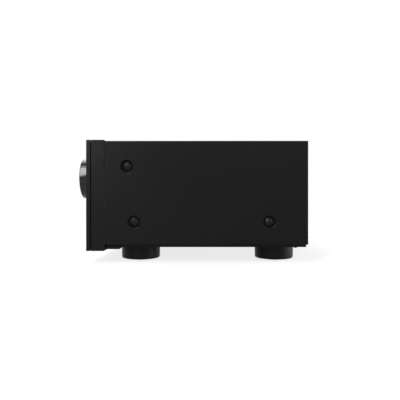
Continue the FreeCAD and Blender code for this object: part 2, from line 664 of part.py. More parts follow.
def front_bracket():
    """Folded plate that closes the front of the chassis, with ears for the upper cover screws."""
    plate = block(("-case_x", "case_x"), ("case_y", "case_y + sheet"), ("floor_z + sheet_gap", "roof_z"))
    ears, holes = [], []
    for side in (-1, 1):
        ears.append(block(side_sheet(side), ("case_y", "upper_screw_y + tab_width / 2"),
                          around("upper_screw_height", "tab_width")))
        holes.append(side_hole(side, ("upper_screw_y", "upper_screw_height")))
        holes.append(block(around(f"{side} * case_x", "4 * sheet"), ("case_y", "case_y + sheet"),
                           ("floor_z", "floor_z + tab_above + sheet_gap")))
    for place, width, height in (
            (HEADPHONE, "2 * headphone_body_width", "2 * headphone_body_width"),
            (("ribbon_across", "ribbon_level"), "2 * ribbon_width", "ribbon_width")):
        across, level = place
        holes.append(block(around(across, width), ("case_y", "case_y + sheet"), around(level, height)))
    node(cut(join(plate, *ears), group(holes)), "front_bracket")


def foot(centre, name):
    """Foot with slightly drawn-in sides, a rounded lower rim and a recess for its pad and screw."""
    rest = "foot_pad_proud"
    body = turned("z", centre, [
        ("pan_shank_radius + foot_pad_gap", "bottom_z"), ("foot_top_radius", "bottom_z"),
        ("foot_bottom_radius", rest), ("foot_pad_radius + foot_pad_gap", rest),
        ("foot_pad_radius + foot_pad_gap", "foot_pad_depth + foot_pad_proud"),
        ("pan_head_radius + foot_pad_gap", "foot_pad_depth + foot_pad_proud"),
        ("pan_head_radius + foot_pad_gap", "bottom_z - foot_web"),
        ("pan_shank_radius + foot_pad_gap", "bottom_z - foot_web")], name)
    radius = SIZES["foot_bottom_radius"]
    doc.recompute()

    def lower_rim(edge):
        return abs(edge.Length - 2 * math.pi * radius) < SAME and len(edge.Vertexes) == 1
    rounded(body, lower_rim, "foot_round", f"{name}_rim")
    node(body, name)


def feet():
    for name, centre in FEET.items():
        foot(centre, name)
    top = "foot_pad_proud + foot_pad_depth"
    node(group([rod("z", centre, "foot_pad_radius", "0", top) for centre in FEET.values()]), "foot_pads")


def screw(axis, at, seat, side, head, shank, length):
    """Domed head on its seat, which faces along the axis or against it, a shank and a cross in its top."""
    radius, height = f"{head}_radius", f"{head}_height"

    def off(distance):
        return f"{seat} + {side} * ({distance})"
    ball = f"{radius} * dome_share"
    dome = aim(doc.addObject("Part::Sphere", "dome"), axis, at, off(f"{height} - {ball}"))
    crown = doc.addObject("Part::Common", "crown")
    crown.Base = rod(axis, at, radius, *around(off(f"{height} / 2"), height))
    crown.Tool = bind(dome, Radius=ball)
    body = join(crown, rod(axis, at, shank, *around(off(f"-({length}) / 2"), length)))
    depth = f"{height} * (1 - cross_floor_share)"
    along = around(off(f"{height} - {depth} / 2"), depth)
    arms = []
    for shares in (("cross_long_share", "cross_short_share"), ("cross_short_share", "cross_long_share")):
        spans = [around(middle, f"2 * {share} * {radius}") for middle, share in zip(at, shares)]
        spans.insert("xyz".index(axis), along)
        arms.append(block(*spans))
    return cut(body, join(*arms))


def screws():
    """The screws of the cover, of the feet and the underside, and of the rear panel."""
    heads = [
        screw("x", place, f"{side} * (case_x + sheet)", side, "screw_head", "screw_radius", "screw_length")
        for side in (-1, 1) for place in SIDE_SCREWS]
    node(group(heads), "side_screws")
    pan = ("pan_head", "pan_shank_radius")
    under = [screw("z", centre, "bottom_z", -1, *pan, "pan_shank_length") for centre in BASE_SCREWS]
    under += [
        screw("z", centre, "bottom_z - foot_web", -1, *pan, "foot_web + pan_shank_length")
        for centre in FEET.values()]
    node(group(under), "base_screws")
    back = [
        screw("y", place, "rear_y", 1, "rear_screw_head", "pan_shank_radius", "pan_shank_length")
        for place in REAR_SCREWS]
    node(group(back), "rear_screws")


# Rear panel: where each connector goes through
TERMINALS = [
    (f"post_across + {across}", f"post_level + {level}")
    for level in offsets("post_rows", "post_row_pitch") for across in offsets("post_columns", "post_pitch")]
JACKS = [
    (f"jack_across + {across}", f"jack_row_level + {level}")
    for level in offsets("jack_rows", "jack_row_pitch") for across in offsets("jack_columns", "jack_pitch")]
SOCKETS = [f"hdmi_across + {across}" for across in offsets("hdmi_count", "hdmi_pitch")]
ANTENNA = ("antenna_across", "antenna_level")
REAR_SCREWS = [
    ("inlet_across + inlet_width / 2 + 3 * inlet_flange", "inlet_level"),
    ("terminal_left_x + post_pitch * 1.5", "terminal_top_z + inlet_flange"),
    ("terminal_right_x - post_pitch * 1.5", "terminal_top_z + inlet_flange"),
    ("jack_across - jack_pitch * jack_columns / 2 + jack_pitch", "jack_row_level + 2 * jack_row_pitch"),
    ("jack_across + jack_pitch * jack_columns / 2 - jack_pitch", "jack_row_level + 2 * jack_row_pitch"),
    ("hdmi_across - hdmi_pitch * hdmi_count / 2 - rear_screw_head_radius", "hdmi_level"),
    ("hdmi_across + hdmi_pitch * hdmi_count / 2 + rear_screw_head_radius", "hdmi_level"),
]


def terminal_block(grow, y):
    return block((f"terminal_left_x - ({grow})", f"terminal_right_x + ({grow})"), y,
                 (f"terminal_bottom_z - ({grow})", f"terminal_top_z + ({grow})"))


def inlet_block(grow, y):
    across = around("inlet_across", "inlet_width", grow)
    return block(across, y, around("inlet_level", "inlet_height", grow))


def hdmi_block(across, grow, y):
    return block(around(across, "hdmi_width", grow), y, around("hdmi_level", "hdmi_height", grow))


def rear_panel():
    """Upright sheet with an opening for each connector and a field of air slots."""
    panel = block(("-case_x", "case_x"), ("inner_rear_y", "rear_y"), ("bottom_z", "roof_z"))
    through = ("inner_rear_y", "rear_y")
    holes = [terminal_block("-terminal_plate_margin / 2 + terminal_hole_gap", through),
             inlet_block("hole_gap", through),
             rod("y", ANTENNA, "antenna_radius + hole_gap", *through)]
    holes += [hdmi_block(across, "hole_gap", through) for across in SOCKETS]
    holes += [rod("y", place, "jack_collar_radius + hole_gap", *through) for place in JACKS]
    holes += [rod("y", place, "pan_shank_radius", *through) for place in REAR_SCREWS]
    holes += [
        block(around(f"rear_vent_across + {across}", "rear_vent_width"), through,
              around("rear_vent_level", "rear_vent_height"))
        for across in offsets("rear_vent_count", "rear_vent_pitch")]
    node(cut(panel, group(holes)), "rear_panel")


def flute_place(centre, turn):
    """Where one of the finger flutes round a cap lies."""
    angle = f"({turn} * 360deg / cap_flute_count)"
    across, level = centre
    return (f"{across} + cap_radius * cos({angle})", f"{level} + cap_radius * sin({angle})")


def speaker_terminals():
    """Moulded base with two rows of binding posts, each with a cap that turns on it."""
    plate = terminal_block("0", ("rear_y", "terminal_y"))
    body = terminal_block("-terminal_plate_margin / 2", ("rear_y - terminal_body_depth", "rear_y"))
    body_y = "rear_y - terminal_body_depth"
    holes = [rod("y", place, "post_radius", body_y, "terminal_y") for place in TERMINALS]
    node(cut(join(plate, body), group(holes)), "speaker_terminal_base")
    seat, edge = "collar_y + cap_seat_gap", "collar_y + cap_seat_gap + cap_length"
    posts = []
    for number, place in enumerate(TERMINALS, start=1):
        stem = rod("y", place, "post_radius", f"{body_y} - post_tail", "post_y")
        collar = rod("y", place, "post_collar_radius", "terminal_y", "collar_y")
        bore = rod("y", place, "post_bore_radius", "post_y - post_bore_depth", "post_y")
        posts.append(cut(join(stem, collar), bore))
        cap = turned("y", place, [
            ("post_radius + cap_gap", seat), ("cap_radius - cap_chamfer", seat),
            ("cap_radius", f"{seat} + cap_chamfer"), ("cap_radius", f"{edge} - cap_chamfer"),
            ("cap_radius - cap_chamfer", edge), ("post_radius + cap_gap", edge),
        ], f"cap_blank_{number}")
        flutes = [
            rod("y", flute_place(place, turn), "cap_flute_radius", f"{seat} + cap_skirt", edge)
            for turn in range(int(SIZES["cap_flute_count"]))]
        node(cut(cap, group(flutes)), f"terminal_cap_{number}")
    node(group(posts), "speaker_terminal_posts")


def phono_jacks():
    """A moulded block with a collar and an insulator for each jack, and the metal sleeves round them."""
    block_y = "inner_rear_y - hole_gap"
    parts = [block(around("jack_across", "jack_columns * jack_pitch", "-jack_block_margin"),
                   (f"{block_y} - jack_block_depth", block_y),
                   around("jack_row_level", "jack_rows * jack_row_pitch", "-jack_block_margin"))]
    inner, collar = "jack_radius - jack_sleeve_wall", "rear_y + jack_collar_thick"
    tip, mouth = "rear_y + jack_reach", "rear_y + jack_reach - jack_sleeve_wall"
    bores, sleeves = [], []
    for place in JACKS:
        parts.append(rod("y", place, "jack_collar_radius", block_y, collar))
        parts.append(rod("y", place, inner, collar, mouth))
        bores.append(rod("y", place, "jack_hole_radius", f"{mouth} - jack_hole_depth", tip))
        sleeve = rod("y", place, "jack_radius", collar, tip)
        sleeves.append(cut(sleeve, rod("y", place, inner, collar, tip)))
    node(cut(join(*parts), group(bores)), "phono_jack_block")
    node(group(sleeves), "phono_jack_sleeves")


def hdmi_sockets():
    """Folded shells on the digital board, each open to the back with its contact tongue inside."""
    sockets = []
    start, end = "rear_y + hdmi_proud - hdmi_depth", "rear_y + hdmi_proud"
    for across in SOCKETS:
        shell = hdmi_block(across, "0", (start, end))
        hollow = hdmi_block(across, "-hdmi_wall", (f"{start} + hdmi_wall", end))
        tongue = block(around(across, "hdmi_tongue_width"), (f"{start} + hdmi_wall", f"{end} - hdmi_wall"),
                       around("hdmi_level", "hdmi_tongue_height"))
        sockets.append(join(cut(shell, hollow), tongue))
    node(group(sockets), "hdmi_sockets")


def antenna_jack():
    """Round jack with a flange against the panel and one bore from the back."""
    tip = "rear_y + antenna_reach"
    stem = rod("y", ANTENNA, "antenna_radius", "inner_rear_y - antenna_flange_radius", tip)
    flange = rod("y", ANTENNA, "antenna_flange_radius", "rear_y", "rear_y + antenna_flange_thick")
    bore = rod("y", ANTENNA, "antenna_bore_radius", f"{tip} - antenna_bore_depth", tip)
    node(cut(join(stem, flange), bore), "antenna_jack")


def mains_inlet():
    """Recessed inlet with two flat pins and a flange against the panel."""
    body = inlet_block("0", ("rear_y - inlet_depth", "rear_y"))
    face = "rear_y + inlet_flange_thick"
    flange = inlet_block("inlet_flange", ("rear_y", face))
    recess = inlet_block("-inlet_wall", (f"{face} - inlet_recess", face))
    pins = [
        block(around(f"inlet_across + {side} * inlet_pin_spread", "inlet_pin_height"),
              (f"{face} - inlet_recess", f"{face} - inlet_recess + inlet_pin_length"),
              around("inlet_level", "inlet_pin_width")) for side in (-1, 1)]
    node(join(cut(join(body, flange), recess), *pins), "mains_inlet")


def transformer():
    """Laminated core with two windows, a winding round its middle leg and a bracket under it."""
    x, y = "transformer_across", "transformer_y"
    deep = around(y, "core_depth")
    core = block(around(x, "core_width"), deep, ("core_z", "core_top_z"))
    window = "(core_width - 2 * core_leg - core_centre_leg) / 2"
    windows = [
        block(around(f"{x} + {side} * (core_centre_leg + {window}) / 2", window), deep,
              ("core_z + core_leg", "core_top_z - core_leg")) for side in (-1, 1)]
    node(cut(core, group(windows)), "transformer_core")
    levels = ("core_z + core_leg + winding_gap", "core_top_z - core_leg - winding_gap")
    winding = block(around(x, "core_width - 2 * core_leg", "-winding_gap"),
                    around(y, "core_depth", "winding_bulge"), levels)
    middle = block(around(x, "core_centre_leg", "winding_gap"),
                   around(y, "core_depth", "winding_gap"), levels)
    node(cut(winding, middle), "transformer_winding")
    node(block(around(x, "core_width", "bracket_foot"), deep, ("floor_z", "core_z")), "transformer_bracket")


def heat_sink():
    """Extruded sink: an upright plate with fins towards the front, on two legs."""
    plate_y = ("sink_y", "sink_y + sink_plate")
    fin_y = ("sink_y - sink_fin_reach", "sink_y")
    levels = ("sink_z", "sink_top_z")
    left, right = around("sink_across", "sink_width")
    plate = block((left, right), plate_y, levels)
    legs = [
        block(ends, plate_y, ("floor_z", "sink_z"))
        for ends in ((left, f"{left} + sink_fin_pitch"), (f"{right} - sink_fin_pitch", right))]
    fin_count = int(SIZES["sink_width"] // SIZES["sink_fin_pitch"]) + 1
    fins = []
    for place in range(fin_count):
        start = f"{left} + {place} * sink_fin_pitch"
        fins.append(block((start, f"{start} + sink_fin_thick"), fin_y, levels))
    node(join(plate, *legs, *fins), "heat_sink")
    packs = [
        block(around(f"sink_across + {across}", "transistor_width"),
              ("sink_y + sink_plate", "sink_y + sink_plate + transistor_thick"),
              ("sink_z + transistor_lift", "sink_z + transistor_lift + transistor_height"))
        for across in offsets("transistor_count", "transistor_pitch")]
    node(group(packs), "output_transistors")


def boards():
    """Amplifier board with its filter capacitors, digital board above it, and the standoffs under both."""
    amplifier_x = around("sink_across", "sink_width")
    digital_x = around("digital_board_across", "digital_board_width")
    amplifier_top = "amp_board_z + board_thick"
    node(block(amplifier_x, ("amp_board_y", "amp_board_rear_y"), ("amp_board_z", amplifier_top)),
         "amplifier_board")
    node(group([
        rod("z", (f"sink_across + {across}", "capacitor_y"), "capacitor_radius", amplifier_top,
            f"{amplifier_top} + capacitor_height")
        for across in offsets("capacitor_count", "capacitor_pitch")]), "filter_capacitors")
    node(block(digital_x, ("digital_board_y", "digital_board_rear_y"),
               ("digital_board_z", "digital_board_z + board_thick")), "digital_board")
    under_amplifier = ("amp_board_y + standoff_inset", "amp_board_rear_y - standoff_inset")
    first_along = "digital_board_y + standoff_inset"
    under_digital = (first_along, f"{first_along} + standoff_spread")
    posts = []
    for ends, alongs, top in (
            (amplifier_x, under_amplifier, "amp_board_z"), (digital_x, under_digital, "digital_board_z")):
        for across in (f"{ends[0]} + standoff_inset", f"{ends[1]} - standoff_inset"):
            for along in alongs:
                posts.append(rod("z", (across, along), "standoff_radius", "floor_z", top))
    node(group(posts), "board_standoffs")


def ribbon_cable():
    """Flat cable from the back of the front board, over the heat sink, down onto the digital board."""
    start = places.get("board_rear_y") + sizes.get("ribbon_gap")
    end = places.get("digital_board_y") + sizes.get("ribbon_run")
    low = sizes.get("ribbon_level")
    thick = sizes.get("ribbon_thick")
    high = places.get("digital_board_z") + sizes.get("board_thick") + sizes.get("ribbon_gap") + thick / 2
    over = high + sizes.get("ribbon_clear")
    run = sizes.get("ribbon_run")
    landing = places.get("digital_board_y") + sizes.get("ribbon_landing")
    route = [(start, low), (places.get("case_y") + run, low), (places.get("sink_y"), over),
             (places.get("digital_board_y") - run, over), (landing, high), (end, high)]
    path = bent_wire([FreeCAD.Vector(0, along, level) for along, level in route])
    across, half = sizes.get("ribbon_across"), sizes.get("ribbon_width") / 2
    corners = [FreeCAD.Vector(side_x * half, start, low + side_z * thick / 2)
               for side_x, side_z in ((-1, -1), (1, -1), (1, 1), (-1, 1))]
    section = Part.makePolygon(corners + corners[:1])
    item = doc.addObject("Part::Feature", "ribbon")
    item.Shape = path.makePipeShell([section], True, False)
    item.Placement = FreeCAD.Placement(FreeCAD.Vector(across, 0, 0), FreeCAD.Rotation())
    node(item, "ribbon_cable")


def bent_wire(points):
    """Straight runs joined by arcs, each as large as its share of the shorter run beside it allows."""
    edges, begin = [], points[0]
    for before, corner, after in zip(points, points[1:], points[2:]):
        into, away = (corner - before), (after - corner)
        trim = ARC_SHARE * min(into.Length, away.Length)
        turn = into.getAngle(away)
        into.normalize()
        away.normalize()
        enter, leave = corner - into * trim, corner + away * trim
        inward = away - into
        inward.normalize()
        edges.append(Part.LineSegment(begin, enter).toShape())
        radius = trim / math.tan(turn / 2)
        middle = corner + inward * (radius / math.cos(turn / 2) - radius)
        edges.append(Part.Arc(enter, middle, leave).toShape())
        begin = leave
    edges.append(Part.LineSegment(begin, points[-1]).toShape())
    return Part.Wire(edges)


front_frame()
front_plate()
display_window()
display_module()
front_board()
jack(HEADPHONE, "headphone")
jack(MICROPHONE, "microphone")
usb_socket()
standby_lens()
rotary_controls()
for number, button in enumerate(BUTTONS, start=1):
    push_button(button, f"function_button_{number}")
push_button(POWER, "power_button")
top_cover()
base_chassis()
front_bracket()
feet()
screws()
rear_panel()
speaker_terminals()
phono_jacks()
hdmi_sockets()
antenna_jack()
mains_inlet()
transformer()
heat_sink()
boards()
ribbon_cable()

doc.recompute()
for item in doc.Objects:
    if "Invalid" in item.State or "Error" in item.State:
        raise RuntimeError(f"{item.Label}: {item.getStatusString()}")
for item in nodes:
    if item.Shape.isNull() or not item.Shape.isValid() or not item.Shape.Solids:
        raise RuntimeError(f"{item.Label}: no valid solid")
os.makedirs("parts", exist_ok=True)
for item in nodes:
    item.Shape.exportStep(f"parts/{item.Label}.step")
print(f"{len(nodes)} pieces, {places.get('depth'):.1f} deep")
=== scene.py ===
import json
import math

import bpy
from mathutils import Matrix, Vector


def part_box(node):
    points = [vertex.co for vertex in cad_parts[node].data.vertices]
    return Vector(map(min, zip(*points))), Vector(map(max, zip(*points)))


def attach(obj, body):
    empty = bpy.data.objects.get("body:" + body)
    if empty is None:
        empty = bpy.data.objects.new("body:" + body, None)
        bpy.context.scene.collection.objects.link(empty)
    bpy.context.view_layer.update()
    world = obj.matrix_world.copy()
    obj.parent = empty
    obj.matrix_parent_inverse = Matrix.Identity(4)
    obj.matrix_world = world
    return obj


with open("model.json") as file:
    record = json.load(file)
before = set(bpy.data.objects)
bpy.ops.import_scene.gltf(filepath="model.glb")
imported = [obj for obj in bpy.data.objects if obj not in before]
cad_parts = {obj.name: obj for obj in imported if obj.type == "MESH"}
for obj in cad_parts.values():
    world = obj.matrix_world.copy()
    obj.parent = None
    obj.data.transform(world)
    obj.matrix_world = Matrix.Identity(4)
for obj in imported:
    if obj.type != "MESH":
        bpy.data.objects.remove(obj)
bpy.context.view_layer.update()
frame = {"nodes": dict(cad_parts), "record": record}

# Millimetres in metres, and the numbers of the three axes
MM = 0.001
X, Y, Z = 0, 1, 2


def place(node, end, axis):
    """One coordinate of a CAD node's box: end 0 is the low side and 1 the high side."""
    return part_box(node)[end][axis]


# The camera stands level beside the receiver, at half its height, as in the photograph
SIDE_X = place("front_plate", 1, X)
CAMERA_AWAY = 557.6 * MM
CAMERA_ALONG = 6.8 * MM
CAMERA_UP = 82.17 * MM
FOCAL_PIXELS = 430
PICTURE_PIXELS = 400
SENSOR = 36
NEAREST, FURTHEST = 0.01, 20


def add_camera():
    data = bpy.data.cameras.new("camera")
    data.sensor_width = SENSOR
    data.lens = SENSOR * FOCAL_PIXELS / PICTURE_PIXELS
    data.clip_start, data.clip_end = NEAREST, FURTHEST
    camera = bpy.data.objects.new("camera", data)
    camera.location = (SIDE_X + CAMERA_AWAY, CAMERA_ALONG, CAMERA_UP)
    camera.rotation_euler = (math.radians(90), 0, math.radians(90))
    bpy.context.scene.collection.objects.link(camera)
    bpy.context.scene.camera = camera


# Materials


def grey(level):
    return (level,) * 3


def opaque(colour):
    """A colour, or the level of a grey, as the four numbers of a node's colour."""
    return (*(colour if isinstance(colour, tuple) else grey(colour)), 1)


BEVEL_SAMPLES = 4


class Paint:
    """A material under construction: a Principled shader with short calls for what feeds it."""

    def __init__(self, name, roughness, metallic=0.0, specular=0.5, **extra):
        self.material = bpy.data.materials.new(name)
        self.material.use_nodes = True
        self.tree = self.material.node_tree
        self.shader = self.tree.nodes["Principled BSDF"]
        self.put("Roughness", roughness)
        self.put("Metallic", metallic)
        self.put("Specular IOR Level", specular)
        for socket, value in extra.items():
            self.put(socket.replace("_", " "), value)
        self.where = self.node("ShaderNodeTexCoord").outputs["Object"]

    def node(self, kind, **settings):
        item = self.tree.nodes.new(kind)
        for key, value in settings.items():
            setattr(item, key, value)
        return item

    def put(self, socket, value):
        self.shader.inputs[socket].default_value = value

    def link(self, source, target):
        self.tree.links.new(source, target)

    def maths(self, operation, first, second=0.0):
        """A sum, product or test of two values, each a number or another node's output."""
        item = self.node("ShaderNodeMath", operation=operation)
        for socket, value in zip(item.inputs, (first, second)):
            if isinstance(value, float):
                socket.default_value = value
            else:
                self.link(value, socket)
        return item.outputs[0]

    def axes(self):
        """The object coordinates X, Y and Z, each by itself."""
        split = self.node("ShaderNodeSeparateXYZ")
        self.link(self.where, split.inputs[0])
        return split.outputs

    def stretched(self, scales):
        """Object coordinates squeezed along each axis."""
        mapping = self.node("ShaderNodeMapping")
        mapping.inputs["Scale"].default_value = scales
        self.link(self.where, mapping.inputs["Vector"])
        return mapping.outputs["Vector"]

    def noise(self, size, detail=2.0, where=None):
        """Noise whose grains are about that many metres across."""
        item = self.node("ShaderNodeTexNoise")
        item.inputs["Scale"].default_value = 1 / size
        item.inputs["Detail"].default_value = detail
        self.link(where or self.where, item.inputs["Vector"])
        return item.outputs["Fac"]

    def ramp(self, factor, low, high, start=0.3, end=0.7):
        """Two colours, or two greys, blended over a stretch of a factor."""
        item = self.node("ShaderNodeValToRGB")
        for element, position, colour in zip(item.color_ramp.elements, (start, end), (low, high)):
            element.position = position
            element.color = opaque(colour)
        self.link(factor, item.inputs["Fac"])
        return item.outputs["Color"]

    def bands(self, direction, size, distortion=0.0):
        """Soft bands across one axis, each about a third of that size wide."""
        item = self.node("ShaderNodeTexWave", bands_direction=direction)
        item.inputs["Scale"].default_value = 1 / size
        item.inputs["Distortion"].default_value = distortion
        self.link(self.where, item.inputs["Vector"])
        return item.outputs["Fac"]

    def colour(self, factor, low, high, **stretch):
        self.link(self.ramp(factor, low, high, **stretch), self.shader.inputs["Base Color"])

    def rough(self, factor, low, high):
        self.link(self.ramp(factor, low, high), self.shader.inputs["Roughness"])

    def bump(self, factor, depth, edge=0.0):
        """Relief from a factor, on edges that look rounded to a radius."""
        item = self.node("ShaderNodeBump")
        item.inputs["Distance"].default_value = depth
        self.link(factor, item.inputs["Height"])
        if edge:
            bevel = self.node("ShaderNodeBevel", samples=BEVEL_SAMPLES)
            bevel.inputs["Radius"].default_value = edge
            self.link(bevel.outputs["Normal"], item.inputs["Normal"])
        self.link(item.outputs["Normal"], self.shader.inputs["Normal"])


# Sprayed paint: its patches of tone, its orange peel and how round it leaves an edge
TONE_PATCH, PEEL, PEEL_DEPTH, SPRAYED_EDGE = 160 * MM, 0.7 * MM, 0.02 * MM, 0.4 * MM


def sprayed(name, low, high, roughness, specular):
    """Powder coat or paint on metal, without its gloss: fine orange peel, slow patches of tone."""
    paint = Paint(name, roughness, specular=specular)
    paint.colour(paint.noise(TONE_PATCH, detail=1), low, high)
    paint.bump(paint.noise(PEEL), PEEL_DEPTH, SPRAYED_EDGE)
    return paint


def coated(name, low, high, roughness, specular=0.5):
    """Paint with one gloss all over."""
    paint = sprayed(name, low, high, roughness, specular)
    paint.rough(paint.noise(TONE_PATCH / 3), roughness - 0.015, roughness + 0.02)
    return paint.material


BEND_HEIGHT = 4 * MM  # more than the cover's bends take up under its top
# Depths under the flat of the cover's side, and how rough its paint is there: smooth where the
# sheet is stretched over the lip of a dimple, dull where the spray hardly reached
DIMPLE_FINISH = ((0.05 * MM, 0.36), (0.1 * MM, 0.27), (0.7 * MM, 0.27), (1.2 * MM, 0.9))
# Patches of gloss on the cover: their size, and by how much they change its roughness
GLOSS_PATCH, PATCH_LOWEST, PATCH_RANGE = 53 * MM, 0.94, 0.12


def dimpled(name, low, high, specular):
    """Paint of the pressed cover: satin on its flats, with another gloss in its dimples."""
    paint = sprayed(name, low, high, DIMPLE_FINISH[0][1], specular)
    axes = paint.axes()
    _, (side, _, top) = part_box("top_cover")
    depth = paint.maths("SUBTRACT", side, paint.maths("ABSOLUTE", axes["X"]))
    depth = paint.maths("MULTIPLY", depth, paint.maths("LESS_THAN", axes["Z"], top - BEND_HEIGHT))
    deepest = DIMPLE_FINISH[-1][0]
    finish = paint.node("ShaderNodeValToRGB")
    paint.link(paint.maths("DIVIDE", depth, deepest), finish.inputs["Fac"])
    elements = finish.color_ramp.elements
    while len(elements) < len(DIMPLE_FINISH):
        elements.new(0.5)
    for element, (under, level) in zip(elements, DIMPLE_FINISH):
        element.position = under / deepest
        element.color = opaque(level)
    patches = paint.maths("MULTIPLY", paint.noise(GLOSS_PATCH), PATCH_RANGE)
    patches = paint.maths("ADD", patches, PATCH_LOWEST)
    roughness = paint.maths("MULTIPLY", finish.outputs["Color"], patches)
    paint.link(roughness, paint.shader.inputs["Roughness"])
    return paint.material


def moulded(name, low, high, roughness, grain=0.35 * MM, depth=0.012 * MM, specular=0.5):
    """Moulded plastic with a fine spark-eroded grain."""
    paint = Paint(name, roughness, specular=specular)
    paint.colour(paint.noise(25 * MM, detail=4), low, high)
    paint.rough(paint.noise(4 * MM, detail=6), roughness - 0.05, roughness + 0.06)
    paint.bump(paint.noise(grain, detail=3), depth, edge=0.3 * MM)
    return paint.material


def lathed(name, low, high, roughness, specular):
    """Turned and lacquered finish of the knobs: fine lines round the axis, on side and face."""
    paint = Paint(name, roughness, specular=specular)
    axes = paint.axes()
    # The two knobs mirror each other, so the middle of one does for both
    low_corner, high_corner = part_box("volume_knob")
    middle_x, middle_z = ((low_corner[axis] + high_corner[axis]) / 2 for axis in (X, Z))
    from_axis = paint.node("ShaderNodeCombineXYZ")
    across = paint.maths("ABSOLUTE", axes["X"])
    paint.link(paint.maths("SUBTRACT", across, middle_x), from_axis.inputs["X"])
    paint.link(paint.maths("SUBTRACT", axes["Z"], middle_z), from_axis.inputs["Z"])
    radius = paint.node("ShaderNodeVectorMath", operation="LENGTH")
    paint.link(from_axis.outputs[0], radius.inputs[0])
    rings = paint.node("ShaderNodeCombineXYZ")
    paint.link(radius.outputs["Value"], rings.inputs["X"])
    paint.link(axes["Y"], rings.inputs["Y"])
    lines = paint.noise(0.5 * MM, detail=4, where=rings.outputs[0])
    paint.colour(paint.noise(18 * MM, detail=3), low, high)
    paint.rough(lines, roughness * 0.8, roughness * 1.3)
    paint.bump(lines, 0.0012 * MM)
    return paint.material


def polished(name, low, high, roughness, alpha=1.0):
    """Smooth plastic or glass: faint smears in the gloss, hardly any relief."""
    paint = Paint(name, roughness, Alpha=alpha)
    paint.colour(paint.noise(12 * MM, detail=3), low, high)
    paint.rough(paint.noise(9 * MM, detail=6), roughness * 0.7, roughness * 1.5)
    paint.bump(paint.noise(2 * MM), 0.002 * MM)
    return paint.material


# Brushed lines to a metre, and how many times longer than wide they are
HAIRS, HAIR_STRETCH = 9000, 90


def brushed(name, low, high, roughness, along=X, metallic=1.0, specular=0.5):
    """Metal drawn or brushed along one axis."""
    paint = Paint(name, roughness, metallic=metallic, specular=specular)
    scales = [HAIRS] * 3
    scales[along] = HAIRS / HAIR_STRETCH
    hair = paint.noise(1, detail=4, where=paint.stretched(scales))
    paint.colour(hair, low, high)
    paint.rough(hair, roughness - 0.06, roughness + 0.08)
    paint.bump(hair, 0.004 * MM, edge=0.25 * MM)
    return paint.material


def plating(paint, roughness):
    """Varies the polish of bright plating, and gives the factor for its tone."""
    paint.rough(paint.noise(1.5 * MM, detail=5), roughness * 0.6, roughness * 1.6)
    paint.bump(paint.noise(0.6 * MM), 0.003 * MM)
    return paint.noise(3 * MM, detail=4)


def plated(name, low, high, roughness):
    """Bright plating all over."""
    paint = Paint(name, roughness, metallic=1.0)
    paint.colour(plating(paint, roughness), low, high)
    return paint.material


# The row of HDMI shells, the wall of a shell, and by how much the mask overlaps that wall
HDMI_COUNT, HDMI_PITCH, SHELL_WALL, MASK_OVERLAP = 6, 24 * MM, 0.5 * MM, 0.05 * MM
# The near-black of the socket openings: black tongues, and painted shade of the hollows round them
SOCKET_TONGUE_AND_SHADE = 0.012


def inside_shells(paint, node, count, pitch):
    """One within the openings of a row of alike shells, zero on their rims and round them."""
    (left, _, bottom), (right, _, top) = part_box(node)
    width = right - left - (count - 1) * pitch
    axes = paint.axes()
    steps = paint.maths("DIVIDE", paint.maths("SUBTRACT", axes["X"], left + width / 2), pitch)
    across = paint.maths("ABSOLUTE", paint.maths("SUBTRACT", steps, paint.maths("ROUND", steps)))
    up = paint.maths("ABSOLUTE", paint.maths("SUBTRACT", axes["Z"], (bottom + top) / 2))
    rim = SHELL_WALL - MASK_OVERLAP
    return paint.maths(
        "MULTIPLY", paint.maths("LESS_THAN", across, (width / 2 - rim) / pitch),
        paint.maths("LESS_THAN", up, (top - bottom) / 2 - rim))


def shelled(name, low, high, roughness):
    """Plated shells of sockets; in their openings, black tongues and the hollows' painted shade."""
    paint = Paint(name, roughness)
    inside = paint.maths(
        "MAXIMUM", inside_shells(paint, "hdmi_sockets", HDMI_COUNT, HDMI_PITCH),
        inside_shells(paint, "front_usb_socket", 1, 1.0))
    blend = paint.node("ShaderNodeMix", data_type="RGBA")
    paint.link(inside, blend.inputs["Factor"])
    paint.link(paint.ramp(plating(paint, roughness), low, high), blend.inputs["A"])
    # Painted shade: the openings take the near-black as if hollow, with the tongues' black plastic
    blend.inputs["B"].default_value = opaque(SOCKET_TONGUE_AND_SHADE)
    paint.link(blend.outputs["Result"], paint.shader.inputs["Base Color"])
    paint.link(paint.maths("SUBTRACT", 1.0, inside), paint.shader.inputs["Metallic"])
    return paint.material


def circuit(name):
    """Green board: solder mask over a lattice of paler tracks."""
    paint = Paint(name, 0.35, Coat_Weight=0.4, Coat_Roughness=0.15)
    cells = paint.node("ShaderNodeTexVoronoi", feature="DISTANCE_TO_EDGE", distance="CHEBYCHEV")
    cells.inputs["Scale"].default_value = 1 / (7 * MM)
    paint.link(paint.where, cells.inputs["Vector"])
    tracks = cells.outputs["Distance"]
    paint.colour(tracks, (0.03, 0.2, 0.07), (0.008, 0.075, 0.03), start=0.04, end=0.09)
    paint.bump(tracks, 0.02 * MM)
    return paint.material


def laminated(name):
    """Stacked steel sheets under varnish."""
    paint = Paint(name, 0.4, metallic=0.6, Coat_Weight=0.3, Coat_Roughness=0.2)
    sheets = paint.bands("Y", 3.2 * MM, distortion=0.4)
    paint.colour(sheets, (0.03, 0.025, 0.02), (0.16, 0.14, 0.12))
    paint.bump(sheets, 0.05 * MM)
    return paint.material


def wound(name):
    """Copper wire laid side by side under clear tape."""
    paint = Paint(name, 0.35, metallic=0.8, Coat_Weight=0.6, Coat_Roughness=0.1)
    turns = paint.bands("Z", 4 * MM, distortion=0.3)
    paint.colour(turns, (0.22, 0.08, 0.025), (0.72, 0.34, 0.14))
    paint.bump(turns, 0.2 * MM)
    return paint.material


def ribbed(name, low, high, roughness, pitch):
    """Side-by-side conductors of a flat cable."""
    paint = Paint(name, roughness)
    wires = paint.bands("X", math.pi * pitch)
    paint.colour(wires, low, high)
    paint.bump(wires, 0.15 * MM)
    return paint.material


